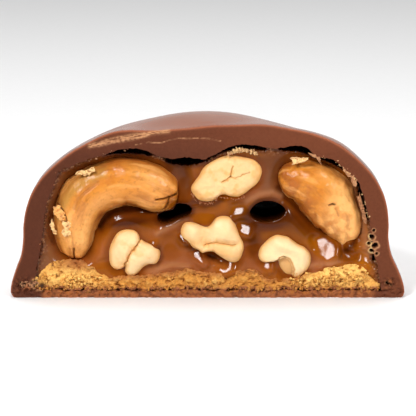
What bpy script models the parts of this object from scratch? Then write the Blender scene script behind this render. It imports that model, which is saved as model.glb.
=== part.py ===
"""Half of a domed milk chocolate, cut to show its filling of caramel, cashews and a biscuit base.

Metres, +Z up. The origin is on the dome's axis, at the middle of the whole candy's round base.
The knife cut faces -Y, a little in front of the axis, so slightly more than half of the candy is left.
"""

import math

import bmesh
import bpy
import numpy as np
from mathutils import Vector, noise

MM = 0.001

# Driving sizes, in millimetres
FOOT_RADIUS = 33.3
DOME_HEIGHT = 30.2
BASE_THICKNESS = 1.1
CUT_Y = -3.0
GAP = 0.3

# The mould's profile as (radius, height), from the edge of the foot up to the top of the dome
OUTER_PROFILE = [
    (32.8, 0.0), (FOOT_RADIUS, 0.8), (33.0, 2.5), (32.1, 4.8), (31.0, 7.2), (30.5, 9.9), (30.5, 12.7),
    (30.2, 15.3), (29.3, 18.1), (27.3, 21.2), (23.2, 24.8), (18.8, 27.1), (14.0, 28.6), (8.2, 29.7),
    (0.0, DOME_HEIGHT),
]
# The hollow that the filling sits in, in the same way
INNER_PROFILE = [
    (29.2, BASE_THICKNESS), (29.2, 2.2), (28.9, 4.5), (28.2, 8.1), (27.8, 11.0), (27.4, 13.6), (26.9, 16.3),
    (25.9, 18.8), (24.1, 21.1), (21.3, 23.0), (17.5, 24.4), (12.5, 25.3), (6.0, 25.8), (0.0, 26.0),
]
PROFILE_STEPS = 2

# Swells and dips as (x, y, height, reach): of the dome's top, of the roof over the filling, and of the air under it
TOP_LUMPS = [
    (-7.5, CUT_Y, -1.2, 7.0), (4.5, CUT_Y, -0.6, 6.5), (18.5, CUT_Y, 0.4, 5.5), (-1.0, 9.0, 0.5, 8.0),
    (14.0, 7.0, -0.45, 6.0), (25.0, 1.0, 0.6, 5.5), (-21.0, 4.0, -0.45, 6.0),
]
ROOF_LUMPS = [(-3.2, CUT_Y, -2.3, 5.6), (6.2, CUT_Y, 0.5, 3.2), (15.4, CUT_Y, 0.8, 3.4), (-12.5, CUT_Y, 0.2, 3.0)]
AIR_POCKETS = [(-11.5, CUT_Y, 0.8, 4.0), (-3.8, CUT_Y, 0.9, 3.2), (6.0, CUT_Y, 0.3, 3.0), (14.8, CUT_Y, 0.7, 2.6)]
LUMP_SHARPNESS = 2.2
LUMPED_FROM = 14.0
# The wall leans out a little on the left, as (x, z, push, reach)
WALL_LUMP = (-31.0, 10.0, 0.7, 7.5)

# Biscuit: its size, its crumb relief, and the places where it stands higher or lower, as (x, change, reach)
BISCUIT_RADIUS = 28.7
BISCUIT_TOP = 3.9
BISCUIT_SIDES = 48
BISCUIT_RINGS = [1.6, 3.4, 3.6, 3.8, 4.0, 4.0]   # widths of the rings on its top, from the rim inwards
BISCUIT_SWELLS = [(-22.5, 1.3, 4.0), (-11.0, -0.8, 5.0), (4.5, 0.2, 4.0), (12.5, -1.0, 4.0), (23.5, 1.0, 4.5)]
SWELL_DEPTH = 9.0   # how far behind the cut they fade out
CRUMB_RELIEF = 0.45
CRUMB_SIZE = 2.2
CRUMB_FADE = 0.8
CRUMB_OCTAVES = 3

# Caramel: how far its face lies behind the cut, and the hollows and swells in it as (x, z, depth, reach x, reach z)
CARAMEL_SETBACK = 0.9
CARAMEL_FORMS = [
    (-13.2, 13.0, 2.6, 5.0, 2.6),
    (-5.6, 14.4, 3.0, 3.6, 2.2),
    (10.3, 14.6, 3.2, 4.2, 2.7),
    (-4.5, 20.6, 1.2, 2.2, 3.0),
    (19.0, 7.6, 1.3, 3.6, 2.2),
    (2.2, 7.4, 1.6, 3.4, 1.4),
    (-14.5, 4.4, 0.6, 5.0, 1.6),
    (3.6, 14.6, -0.7, 2.4, 2.4),
    (-27.0, 9.0, -0.5, 1.8, 5.0),
    (12.2, 20.6, -0.4, 3.0, 3.0),
    (5.0, 3.8, -0.4, 8.0, 1.0),
]

# Air holes in the caramel: x, z, half width, half height, tilt in degrees. They are widest behind the face.
AIR_HOLES = [
    (10.35, 14.6, 2.9, 1.7, 0.0),
    (-5.4, 14.3, 3.1, 1.15, 16.0),
]
AIR_HOLE_MIDDLE = 4.5
AIR_HOLE_REACH = 7.0

# Whole cashews: middle line as (x, z, width), from tip to tip, then the thickness and the depth of the middle
LEFT_KERNEL = [
    (-22.0, 6.7, 3.2), (-22.5, 8.2, 5.8), (-22.75, 11.0, 7.5), (-22.0, 14.5, 8.1), (-20.2, 17.4, 8.4),
    (-17.6, 19.2, 8.3), (-14.6, 19.6, 8.2), (-11.5, 18.9, 8.1), (-8.9, 17.8, 7.4), (-6.8, 16.9, 5.8),
    (-5.9, 16.5, 3.6),
]
RIGHT_KERNEL = [
    (13.9, 20.8, 3.6), (15.2, 20.4, 7.0), (17.4, 19.4, 8.8), (19.8, 17.4, 9.6), (21.6, 14.6, 9.0),
    (22.6, 11.7, 6.8), (23.0, 9.8, 4.4), (23.1, 8.7, 2.4),
]
KERNEL_THICKNESS = 8.6
LEFT_KERNEL_Y = CUT_Y + 3.5
RIGHT_KERNEL_Y = CUT_Y + 3.3
KERNEL_SIDES = 14

# Cashews cut across: the outline of the cut as (x, z), clockwise, then its depth and how it drifts behind the cut
TOP_OUTLINE = [
    (-2.9, 17.1), (-2.1, 19.7), (0.6, 22.4), (3.7, 24.0), (7.0, 23.9), (9.2, 22.3), (9.5, 20.2), (8.0, 17.8),
    (5.6, 16.6), (3.4, 17.1), (1.3, 16.7), (-1.2, 16.4),
]
LOW_LEFT_OUTLINE = [
    (-16.6, 7.6), (-16.0, 10.1), (-14.4, 11.2), (-12.4, 10.9), (-10.9, 9.4), (-9.5, 8.5), (-7.9, 7.7), (-7.8, 5.6),
    (-9.6, 4.6), (-11.7, 3.0), (-13.5, 3.9), (-15.8, 4.7), (-16.7, 5.8),
]
LOW_MID_OUTLINE = [
    (-4.7, 10.6), (-4.1, 12.4), (-2.3, 12.7), (0.2, 12.1), (1.7, 13.3), (3.4, 13.6), (5.0, 12.0), (6.3, 9.2),
    (6.3, 6.8), (4.7, 5.4), (2.7, 6.2), (1.0, 7.5), (-1.7, 7.8), (-3.6, 9.0),
]
LOW_RIGHT_OUTLINE = [
    (8.7, 8.0), (9.8, 9.9), (11.9, 10.6), (14.5, 10.2), (16.8, 8.6), (17.8, 6.2), (16.8, 3.8), (14.9, 2.9),
    (12.9, 4.0), (12.0, 5.9), (10.2, 6.1),
]
# name: outline, front face behind the cut, length back, drift in x and z at the far end
CUT_KERNELS = {
    "cashew_top": (TOP_OUTLINE, 0.1, 9.5, -1.5, -1.2),
    "cashew_low_left": (LOW_LEFT_OUTLINE, -0.2, 9.0, 1.5, 1.6),
    "cashew_low_mid": (LOW_MID_OUTLINE, -0.3, 10.0, -1.0, 1.5),
    "cashew_low_right": (LOW_RIGHT_OUTLINE, -0.2, 9.0, 1.0, 2.0),
}
PRESSED_KERNELS = ("cashew_low_left", "cashew_low_right")
# Rings of a cut kernel from its face to its far tip, as (share of the length, share of the outline)
CUT_KERNEL_RINGS = [(0.0, 0.62), (0.03, 0.88), (0.10, 1.0), (0.35, 1.02), (0.60, 0.92), (0.80, 0.70), (0.94, 0.38)]
OUTLINE_STEPS = 2

SPIN_STEPS = 72
FILLING_SPIN_STEPS = 48


def clear_scene():
    for obj in list(bpy.data.objects):
        bpy.data.objects.remove(obj)


def linear(channel):
    return channel / 12.92 if channel <= 0.04045 else ((channel + 0.055) / 1.055) ** 2.4


def plain_material(name, hex_colour, roughness):
    """A Principled surface of one colour, which is given in sRGB hex."""
    made = bpy.data.materials.new(name)
    made.use_nodes = True
    shader = made.node_tree.nodes["Principled BSDF"]
    channels = [linear(int(hex_colour[i:i + 2], 16) / 255) for i in (0, 2, 4)]
    shader.inputs["Base Color"].default_value = (*channels, 1.0)
    shader.inputs["Roughness"].default_value = roughness
    shader.inputs["Metallic"].default_value = 0.0
    made.diffuse_color = (*channels, 1.0)
    return made


def smooth_line(points, steps, closed=False):
    """Catmull-Rom curve through the points, with this many steps to a span."""
    points = [np.array(p, float) for p in points]
    count = len(points)
    spans = count if closed else count - 1
    line = []
    for i in range(spans):
        if closed:
            a, b, c, d = (points[(i + k) % count] for k in (-1, 0, 1, 2))
        else:
            a, b, c, d = (points[min(max(i + k, 0), count - 1)] for k in (-1, 0, 1, 2))
        for step in range(steps):
            t = step / steps
            line.append(
                0.5 * (2 * b + (c - a) * t + (2 * a - 5 * b + 4 * c - d) * t**2 + (3 * b - a - 3 * c + d) * t**3)
            )
    if not closed:
        line.append(points[-1])
    return line


def new_object(name, bm, surface=None, cutter=False):
    """The finished bmesh, in millimetres, as an object in metres."""
    bmesh.ops.remove_doubles(bm, verts=bm.verts, dist=1e-4)
    bmesh.ops.recalc_face_normals(bm, faces=bm.faces)
    bmesh.ops.scale(bm, vec=(MM, MM, MM), verts=bm.verts)
    mesh = bpy.data.meshes.new(name)
    bm.to_mesh(mesh)
    bm.free()
    mesh.shade_smooth()
    mesh.set_sharp_from_angle(angle=math.radians(50))
    obj = bpy.data.objects.new(name, mesh)
    bpy.context.scene.collection.objects.link(obj)
    if surface:
        mesh.materials.append(surface)
    if cutter:
        obj.hide_render = True
        obj.display_type = "WIRE"
    return obj


def boolean(obj, other, operation):
    """Adds an exact Boolean with one object or with a collection of cutters."""
    modifier = obj.modifiers.new(operation.title(), "BOOLEAN")
    modifier.operation = operation
    modifier.solver = "EXACT"
    if isinstance(other, bpy.types.Collection):
        modifier.operand_type = "COLLECTION"
        modifier.collection = other
    else:
        modifier.object = other
    return modifier


def swell(x, y, lumps):
    """Height that the lumps add at x, y."""
    total = 0.0
    for at_x, at_y, height, reach in lumps:
        away = math.hypot(x - at_x, y - at_y) / reach
        total += height * math.exp(-(away**LUMP_SHARPNESS))
    return total


def turned_dome(profile, lumps, spin_steps, inset=0.0, lift=0.0, air=()):
    """A closed dome turned about Z. The inset moves its wall in and its roof down, and the lift its floor up."""
    bm = bmesh.new()
    line = smooth_line(profile, PROFILE_STEPS)
    floor = line[0][1]
    points = []
    for radius, height in line:
        points.append((max(radius - inset, 0.0), 0.0, max(height - inset, floor + lift)))
    points[-1] = (0.0, 0.0, line[-1][1] - inset)
    verts = [bm.verts.new(p) for p in [(0.0, 0.0, floor + lift), *points]]
    for a, b in zip(verts, verts[1:]):
        bm.edges.new((a, b))
    bmesh.ops.spin(
        bm, geom=bm.verts[:] + bm.edges[:], cent=(0, 0, 0), axis=(0, 0, 1), angle=math.tau, steps=spin_steps,
        use_merge=True,
    )
    bmesh.ops.remove_doubles(bm, verts=bm.verts, dist=1e-3)
    for vert in bm.verts:
        x, y, z = vert.co
        share = min(max((z - LUMPED_FROM) / (DOME_HEIGHT - 4.0 - LUMPED_FROM), 0.0), 1.0)
        vert.co.z += share * (swell(x, y, lumps) - swell(x, y, air))
    return bm


def push_wall(bm):
    """Swells the outer wall on one side, away from the axis."""
    at_x, at_z, push, reach = WALL_LUMP
    for vert in bm.verts:
        x, y, z = vert.co
        away = math.sqrt((x - at_x) ** 2 + (y - CUT_Y) ** 2 + (z - at_z) ** 2) / reach
        radius = max(math.hypot(x, y), 1.0)
        out = push * math.exp(-(away**2)) / radius
        vert.co.x += x * out
        vert.co.y += y * out


def front_slab(depth_at, x_reach, z_low, z_high, columns, rows, back=40.0):
    """A block whose front follows depth_at(x, z), which gives y, and whose back lies far behind."""
    bm = bmesh.new()
    bmesh.ops.create_grid(bm, x_segments=columns, y_segments=rows, size=0.5)
    for vert in bm.verts:
        x = vert.co.x * 2 * x_reach
        z = z_low + (vert.co.y + 0.5) * (z_high - z_low)
        vert.co = Vector((x, depth_at(x, z), z))
    made = bmesh.ops.extrude_face_region(bm, geom=bm.faces[:])
    for item in made["geom"]:
        if isinstance(item, bmesh.types.BMVert):
            item.co.y = back
    return bm


def caramel_face(x, z):
    """Where the caramel's face lies at x, z: set back from the cut, with soft hollows and swells."""
    depth = CUT_Y + CARAMEL_SETBACK
    for at_x, at_z, deep, reach_x, reach_z in CARAMEL_FORMS:
        depth += deep * math.exp(-(((x - at_x) / reach_x) ** 2) - ((z - at_z) / reach_z) ** 2)
    return depth


def crumb(x, y, z):
    """Uneven crumb relief, from -1 to 1."""
    return noise.fractal(Vector((x, y, z)) / CRUMB_SIZE, CRUMB_FADE, 2.0, CRUMB_OCTAVES)


def biscuit_face(x, z):
    return CUT_Y + 0.35 + CRUMB_RELIEF * crumb(x, 11.0, z)


def biscuit_height(x, y):
    height = BISCUIT_TOP + CRUMB_RELIEF * crumb(x, y, 5.0)
    for at_x, change, reach in BISCUIT_SWELLS:
        height += change * math.exp(-(((x - at_x) / reach) ** 2) - ((y - CUT_Y) / SWELL_DEPTH) ** 2)
    return height


def biscuit_block(spread=0.0):
    """The biscuit's round slab, or with a spread the room that the caramel leaves for it."""
    bm = bmesh.new()
    floor = BASE_THICKNESS + GAP - 2 * spread
    bmesh.ops.create_circle(bm, cap_ends=True, radius=BISCUIT_RADIUS + spread, segments=BISCUIT_SIDES)
    made = bmesh.ops.extrude_face_region(bm, geom=bm.faces[:], use_keep_orig=True)
    for item in made["geom"]:
        if isinstance(item, bmesh.types.BMVert):
            item.co.z = BISCUIT_TOP
    top = [item for item in made["geom"] if isinstance(item, bmesh.types.BMFace)]
    for width in BISCUIT_RINGS:
        bmesh.ops.inset_region(bm, faces=top, thickness=width)
    for vert in bm.verts:
        on_top = vert.co.z > BISCUIT_TOP / 2
        vert.co.z = biscuit_height(vert.co.x, vert.co.y) + spread if on_top else floor
    return bm


def kernel_body(middle_line, middle_y, grow=0.0):
    """A whole cashew: oval rings along its bent middle line."""
    line = smooth_line(middle_line, 2)
    bm = bmesh.new()
    rings = []
    widest = max(p[2] for p in line)
    for i, (x, z, width) in enumerate(line):
        before, after = line[max(i - 1, 0)], line[min(i + 1, len(line) - 1)]
        along = Vector((after[0] - before[0], 0, after[1] - before[1])).normalized()
        across = Vector((along.z, 0, -along.x))
        half_width = width / 2 + grow
        half_thick = KERNEL_THICKNESS / 2 * math.sqrt(width / widest) + grow
        ring = []
        for k in range(KERNEL_SIDES):
            angle = math.tau * k / KERNEL_SIDES
            offset = across * (half_width * math.cos(angle)) + Vector((0, 1, 0)) * (half_thick * math.sin(angle))
            ring.append(bm.verts.new(Vector((x, middle_y, z)) + offset))
        rings.append((ring, along))
    for (a, _), (b, _) in zip(rings, rings[1:]):
        for k in range(KERNEL_SIDES):
            nxt = (k + 1) % KERNEL_SIDES
            bm.faces.new((a[k], a[nxt], b[nxt], b[k]))
    for (ring, along), point, way in ((rings[0], line[0], -1), (rings[-1], line[-1], 1)):
        tip = Vector((point[0], middle_y, point[1])) + along * (way * (0.45 * point[2] + grow))
        centre = bm.verts.new(tip)
        for k in range(KERNEL_SIDES):
            bm.faces.new((ring[k], ring[(k + 1) % KERNEL_SIDES], centre))
    return bm


def cut_kernel_body(outline, setback, length, drift_x, drift_z, grow=0.0):
    """A cashew cut across: its outline shrinks to a rounded face in front and to a tip behind."""
    line = smooth_line(outline, OUTLINE_STEPS, closed=True)
    centre = sum(line) / len(line)
    mean_radius = sum(np.linalg.norm(p - centre) for p in line) / len(line)
    spread = 1 + 1.25 * grow / mean_radius
    bm = bmesh.new()
    rings = []
    front = CUT_Y + setback - grow
    reach = length + 2 * grow
    for share, size in CUT_KERNEL_RINGS:
        y = front + share * reach
        middle = centre + np.array([drift_x, drift_z]) * share**2
        ring = []
        for point in line:
            x, z = middle + (point - centre) * size * spread
            ring.append(bm.verts.new((x, y, z)))
        rings.append(ring)
    count = len(line)
    for a, b in zip(rings, rings[1:]):
        for k in range(count):
            nxt = (k + 1) % count
            bm.faces.new((a[k], a[nxt], b[nxt], b[k]))
    ends = ((rings[0], front - 0.12, 0.0), (rings[-1], front + reach, 1.0))
    for ring, y, share in ends:
        x, z = centre + np.array([drift_x, drift_z]) * share
        tip = bm.verts.new((x, y, z))
        for k in range(count):
            bm.faces.new((ring[k], ring[(k + 1) % count], tip))
    return bm


def air_hole(x, z, half_width, half_height, tilt):
    """A cutter for a hole that is oval across and rounds off behind."""
    bm = bmesh.new()
    bmesh.ops.create_uvsphere(bm, u_segments=16, v_segments=8, radius=1.0)
    for vert in bm.verts:
        across, up = vert.co.x * half_width, vert.co.z * half_height
        turn = math.radians(tilt)
        vert.co = Vector((
            x + across * math.cos(turn) - up * math.sin(turn),
            CUT_Y + AIR_HOLE_MIDDLE + vert.co.y * AIR_HOLE_REACH,
            z + across * math.sin(turn) + up * math.cos(turn),
        ))
    return bm


def build_shell():
    chocolate = plain_material("milk_chocolate", "6C3F2D", 0.42)
    dome = turned_dome(OUTER_PROFILE, TOP_LUMPS, SPIN_STEPS)
    push_wall(dome)
    plane = bmesh.ops.bisect_plane(
        dome, geom=dome.verts[:] + dome.edges[:] + dome.faces[:], plane_co=(0, CUT_Y, 0), plane_no=(0, -1, 0),
        clear_outer=True,
    )
    rim = [item for item in plane["geom_cut"] if isinstance(item, bmesh.types.BMEdge)]
    bmesh.ops.edgenet_fill(dome, edges=rim)
    shell = new_object("chocolate_shell", dome, chocolate)
    hollow_body = turned_dome(INNER_PROFILE, ROOF_LUMPS, FILLING_SPIN_STEPS)
    hollow = new_object("shell_hollow_cutter", hollow_body, cutter=True)
    boolean(shell, hollow, "DIFFERENCE")


def build_biscuit(rooms):
    """The crumbly slab, with room for the two cashews that are pressed into it."""
    crumb_colour = plain_material("baked_biscuit", "D3913F", 0.85)
    biscuit = new_object("biscuit_base", biscuit_block(), crumb_colour)
    face = front_slab(biscuit_face, x_reach=31.0, z_low=-1.0, z_high=9.0, columns=64, rows=9)
    boolean(biscuit, new_object("biscuit_face_cutter", face, cutter=True), "INTERSECT")
    for name in PRESSED_KERNELS:
        boolean(biscuit, rooms[name], "DIFFERENCE")


def build_cashews():
    """The six cashews, and for each a larger copy that makes room for it in the caramel."""
    roasted = plain_material("roasted_cashew", "E09A4A", 0.38)
    cream = plain_material("cut_cashew", "F6D39A", 0.5)
    bodies = {
        "cashew_left": (roasted, lambda grow: kernel_body(LEFT_KERNEL, LEFT_KERNEL_Y, grow)),
        "cashew_right": (roasted, lambda grow: kernel_body(RIGHT_KERNEL, RIGHT_KERNEL_Y, grow)),
    }
    for name, sizes in CUT_KERNELS.items():
        bodies[name] = (cream, lambda grow, sizes=sizes: cut_kernel_body(*sizes, grow=grow))
    rooms = {}
    for name, (surface, body) in bodies.items():
        new_object(name, body(0.0), surface)
        rooms[name] = new_object(name + "_room", body(GAP), cutter=True)
    return rooms


def build_caramel(rooms):
    toffee = plain_material("soft_caramel", "A35A1E", 0.2)
    body = turned_dome(INNER_PROFILE, ROOF_LUMPS, FILLING_SPIN_STEPS, inset=GAP, lift=GAP, air=AIR_POCKETS)
    caramel = new_object("caramel", body, toffee)
    face = front_slab(caramel_face, x_reach=31.0, z_low=-1.0, z_high=30.0, columns=46, rows=24)
    boolean(caramel, new_object("caramel_face_cutter", face, cutter=True), "INTERSECT")
    cutters = bpy.data.collections.new("caramel_cutters")
    bpy.context.scene.collection.children.link(cutters)
    cutters.hide_render = True
    biscuit_room = new_object("biscuit_room", biscuit_block(spread=GAP), cutter=True)
    holes = [new_object(f"air_hole_{n}", air_hole(*sizes), cutter=True) for n, sizes in enumerate(AIR_HOLES)]
    for room in [*rooms.values(), biscuit_room, *holes]:
        bpy.context.scene.collection.objects.unlink(room)
        cutters.objects.link(room)
    boolean(caramel, cutters, "DIFFERENCE")


def main():
    clear_scene()
    build_shell()
    rooms = build_cashews()
    build_biscuit(rooms)
    build_caramel(rooms)


main()
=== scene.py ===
"""The finish of a domed milk chocolate that is cut in half: shell, caramel, cashews, biscuit and crumbs.

Sizes are millimetres until a mesh gets its points, which are metres. The cut lies at y = CUT, and
places on it are given as (x, z). A depth is measured from the cut into the candy.
"""

import math

import bpy
import numpy as np
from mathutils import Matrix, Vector


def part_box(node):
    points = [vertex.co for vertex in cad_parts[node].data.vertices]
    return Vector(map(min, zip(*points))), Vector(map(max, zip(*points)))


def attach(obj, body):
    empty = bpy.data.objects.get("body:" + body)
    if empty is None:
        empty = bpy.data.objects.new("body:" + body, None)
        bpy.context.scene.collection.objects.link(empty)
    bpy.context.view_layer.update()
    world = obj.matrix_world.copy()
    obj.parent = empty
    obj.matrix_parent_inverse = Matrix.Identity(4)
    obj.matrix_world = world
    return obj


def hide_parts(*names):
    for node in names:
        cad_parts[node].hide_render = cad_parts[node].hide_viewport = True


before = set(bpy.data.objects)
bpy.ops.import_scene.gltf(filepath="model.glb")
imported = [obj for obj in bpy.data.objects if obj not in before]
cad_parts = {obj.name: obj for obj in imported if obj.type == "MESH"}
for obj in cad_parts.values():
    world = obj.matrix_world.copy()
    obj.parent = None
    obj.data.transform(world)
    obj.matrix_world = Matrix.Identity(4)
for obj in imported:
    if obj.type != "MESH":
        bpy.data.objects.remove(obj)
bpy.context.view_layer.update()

MM = 0.001
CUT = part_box("chocolate_shell")[0][1] / MM
DOME_TOP = 30.2
random = np.random.default_rng(11)

# Colours as sRGB hex, chosen and set a little off where the light needs it: first the chocolate's
COCOA = "542C1C"
LIT_COCOA = "6C3A24"
MOULDED = "84492C"
LIT_RIM = "A86040"
SCRAPED = "C08A60"
RECESS_SHADE = "34190E"
# Caramel
AMBER = "904C06"
TOFFEE = "6C3004"
SHADE_TOFFEE = "451A02"
SHADOW_TOFFEE = "2E0E01"
GLOW = "A65E04"
REFLECTED_MAUVE = "965228"
TAN = "AC744C"
GREY = "603216"
FILM = "7A4C2E"
GAP_SHADOW = "0C0300"
# Cashews
GOLD = "D0822C"
ORANGE = "BC681C"
OLIVE = "B8843C"
LIGHT = "F4B468"
ROAST_AND_SHADE = "96501C"
FLAKE = "F4CB8C"
CREAM = "F4D6A4"
BUTTER_AND_SHADE = "E2A860"
TAWNY_SHADE = "C98C40"
CRACK_SHADE = "7E4616"
# Biscuit
CRUMB = "D8943C"
PALE_CRUMB = "FCCA70"
BAKED_AND_SHADE = "A86826"
SOAKED = "A4602A"
BASE = "9A5A34"

# The moulded outside as (radius, height), from the foot to the top, and its swells as (x, y, height, reach)
OUTSIDE = [
    (32.8, 0), (33.3, 0.8), (33, 2.5), (32.1, 4.8), (31, 7.2), (30.5, 9.9), (30.5, 12.7), (30.2, 15.3),
    (29.3, 18.1), (27.3, 21.2), (23.2, 24.8), (18.8, 27.1), (14, 28.6), (8.2, 29.7), (0, DOME_TOP),
]
SWELLS = [
    (-7.5, CUT, -1.2, 7), (4.5, CUT, -0.6, 6.5), (18.5, CUT, 0.4, 5.5), (-1, 9, 0.5, 8), (14, 7, -0.45, 6),
    (25, 1, 0.6, 5.5), (-21, 4, -0.45, 6), (-14.8, CUT, 0.5, 4.2), (-2, CUT, -0.2, 3), (9, CUT, 0.3, 4),
]
SWELL_POWER = 2.2
SWELLS_FROM = 14.0
LEFT_PUSH = (-31, 10, 0.7, 7.5)

# The edge of the hollow at the cut, from the left end of the floor over the roof to the right end
FLOOR = 1.2
HOLLOW_EDGE = [
    (-29.2, FLOOR), (-29.1, 3.9), (-28.2, 8.4), (-27.8, 11.2), (-27.2, 15.6), (-26, 18.8), (-24.9, 21.6),
    (-23.3, 22.4), (-20.2, 23.7), (-17.1, 24.5), (-15.3, 25.2), (-12.6, 25.5), (-10.4, 25.2), (-8.6, 24.3),
    (-6.4, 23.8), (-3.7, 24), (-0.7, 23.7), (0.7, 24.3), (2.9, 25.5), (5.5, 26.3), (8.2, 26), (11.4, 25.5),
    (14.1, 26), (16.3, 25.7), (17.8, 24.6), (18.5, 24.1), (20.8, 23.6), (23, 21.9), (25, 20.2),
    (26.1, 17.5), (27, 13.9), (27.4, 11.2), (27.8, 8.4), (28.7, 4.8), (29.2, FLOOR),
]
BISCUIT_EDGE = [
    (-29.3, 2.6), (-28.2, 4.2), (-26.8, 5.5), (-25.3, 6), (-21.8, 5.9), (-20.6, 5.5), (-19.3, 5),
    (-18.5, 4), (-17.4, 3.6), (-16.4, 3.1), (-14.3, 3.5), (-11.4, 3.6), (-7.9, 4.1), (-5.9, 4.1), (-5, 4.5),
    (-3.1, 4.8), (-1.5, 4.3), (0.3, 4.1), (2, 4), (3.2, 3.6), (4.4, 4.2), (6.2, 4.6), (7.9, 4.6),
    (8.9, 3.8), (10.1, 3), (12.4, 3), (13.6, 3.1), (15.4, 3.3), (17.1, 4), (19.1, 4.2), (19.8, 5),
    (20.6, 5.3), (21.7, 4.9), (22.8, 5.3), (24.2, 5.6), (25.5, 5.3), (26.7, 4.6), (27.5, 3.9), (29.3, 1.9),
]

# Whole cashews as (x, z, width) along their bent middle, from tip to tip
LEFT_KERNEL = [
    (-22.6, 6.2, 0), (-22.5, 7.2, 4.6), (-22.6, 9, 6.4), (-22.65, 11.3, 7.5), (-22.3, 13.2, 8.2),
    (-21.5, 15.3, 8.5), (-20.4, 17, 8.7), (-18.9, 18.1, 8.6), (-16.8, 19, 8.4), (-14.1, 19.5, 8.3),
    (-11.4, 19.2, 8.3), (-9.2, 18.3, 8.2), (-7.4, 17.5, 7.3), (-5.9, 16.9, 5.2), (-5.1, 16.7, 0),
]
RIGHT_KERNEL = [
    (11.7, 20.2, 0), (12.7, 20.2, 4.8), (14.1, 20, 6.6), (15.7, 19.7, 7.8), (17.5, 18.9, 8.9),
    (18.8, 17.9, 9.7), (20.1, 16.6, 10), (21.2, 14.9, 9.3), (22.3, 13.1, 8), (22.8, 11.3, 6.6),
    (22.9, 9.7, 4.6), (22.8, 8, 0),
]
# Cashews cut across, as the outline of the cut
TOP_KERNEL = [
    (-0.7, 22.3), (0.8, 23.4), (2.1, 24), (3.9, 24.3), (5.9, 24), (7.6, 23.6), (8.7, 22.7), (9.1, 21.6),
    (8.9, 20.5), (8.3, 19.3), (7.2, 18.5), (6.1, 17.6), (5, 17.1), (3.7, 17.2), (2.8, 17.5), (1.9, 17.3),
    (1.3, 16.7), (0.3, 16.3), (-0.7, 16.3), (-1.8, 16.7), (-2.7, 17.8), (-2.8, 18.9), (-1.8, 20.5),
]
LOW_LEFT_KERNEL = [
    (-16.8, 7.1), (-16.7, 8.2), (-16.1, 9.8), (-15.2, 11.1), (-14.1, 11.6), (-12.8, 11.6), (-11.9, 11.1),
    (-11.2, 10), (-10.4, 9.4), (-9.3, 9.1), (-8.4, 8.4), (-8, 7.5), (-8.2, 6.4), (-8.8, 5.6), (-9.9, 5.5),
    (-10.8, 5.1), (-11.7, 4.2), (-12.6, 3.5), (-13.4, 3.5), (-14, 4.2), (-14.3, 4.8), (-15.4, 4.6),
    (-16.3, 5.1), (-16.7, 6),
]
LOW_MID_KERNEL = [
    (-4.7, 10.8), (-4.6, 11.8), (-4.1, 12.7), (-3.1, 12.9), (-2.2, 12.7), (-1.1, 12.3), (-0.1, 12.1),
    (0.6, 12.6), (1.3, 13.5), (2.2, 13.9), (3.1, 13.9), (3.9, 13.6), (4.5, 12.7), (5.1, 11.4), (5.7, 10.1),
    (6.1, 9), (6.1, 8), (5.7, 6.9), (5.1, 6), (4.3, 5.8), (3.5, 6), (2.5, 6.6), (1.6, 7.2), (0.9, 7.7),
    (-0.1, 7.7), (-1, 7.5), (-1.7, 8), (-2.4, 8.3), (-3.1, 8.9), (-3.8, 9.5), (-4.4, 10.1),
]
LOW_RIGHT_KERNEL = [
    (8.4, 7), (8.5, 7.7), (8.9, 8.6), (9.7, 9.5), (10.5, 10.2), (11.5, 10.7), (12.4, 10.6), (13.5, 10.3),
    (14.3, 9.7), (15.3, 9), (16.2, 8.6), (17, 7.8), (17.4, 7), (17.4, 5.9), (17, 4.8), (16.2, 4),
    (15.5, 3.4), (14.5, 3.2), (13.6, 3.3), (12.9, 3.6), (12.3, 4.2), (11.8, 5.1), (11.6, 5.8), (11.5, 6.2),
    (10.9, 6), (10.1, 5.9), (9.3, 5.9), (8.7, 6.3),
]


# Shared helpers


def linear(hex_colour):
    """sRGB hex to linear red, green and blue."""
    channels = []
    for i in (0, 2, 4):
        c = int(hex_colour[i:i + 2], 16) / 255
        channels.append(c / 12.92 if c <= 0.04045 else ((c + 0.055) / 1.055) ** 2.4)
    return np.array(channels)


def curve(points, count, closed=False):
    """A smooth curve through the points, as this many points evenly spaced along it."""
    points = np.array(points, float)
    total = len(points)
    fine = []
    for i in range(total if closed else total - 1):
        if closed:
            a, b, c, d = (points[(i + k) % total] for k in (-1, 0, 1, 2))
        else:
            a, b, c, d = (points[min(max(i + k, 0), total - 1)] for k in (-1, 0, 1, 2))
        for t in np.arange(0, 1, 0.05):
            bend, twist = 2 * a - 5 * b + 4 * c - d, 3 * b - a - 3 * c + d
            fine.append(0.5 * (2 * b + (c - a) * t + bend * t**2 + twist * t**3))
    fine.append(points[0] if closed else points[-1])
    fine = np.array(fine)
    steps = np.linalg.norm(np.diff(fine[:, :2], axis=0), axis=1)
    along = np.concatenate([[0], np.cumsum(steps)])
    wanted = np.linspace(0, along[-1], count, endpoint=not closed)
    return np.stack([np.interp(wanted, along, fine[:, k]) for k in range(fine.shape[1])], axis=1)


def away_from(x, z, line, within=1e6):
    """Distance of each place from a line of points, left very large where it is further off than within."""
    line = np.array(line, float)
    (low_x, low_z), (high_x, high_z) = line.min(axis=0) - within, line.max(axis=0) + within
    near = (x > low_x) & (x < high_x) & (z > low_z) & (z < high_z)
    px, pz = x[near], z[near]
    best = np.full(px.shape, 1e12)
    for (ax, az), (bx, bz) in zip(line, line[1:]):
        dx, dz = bx - ax, bz - az
        t = np.clip(((px - ax) * dx + (pz - az) * dz) / max(dx * dx + dz * dz, 1e-9), 0, 1)
        best = np.minimum(best, (px - ax - t * dx) ** 2 + (pz - az - t * dz) ** 2)
    away = np.full(x.shape, 1e6)
    away[near] = np.sqrt(best)
    return away


def stroke(x, z, line, width):
    """1 on the line, fading out over about twice the width."""
    return np.exp(-((np.minimum(away_from(x, z, line, 3 * width) / width, 9) ** 2)))


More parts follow.
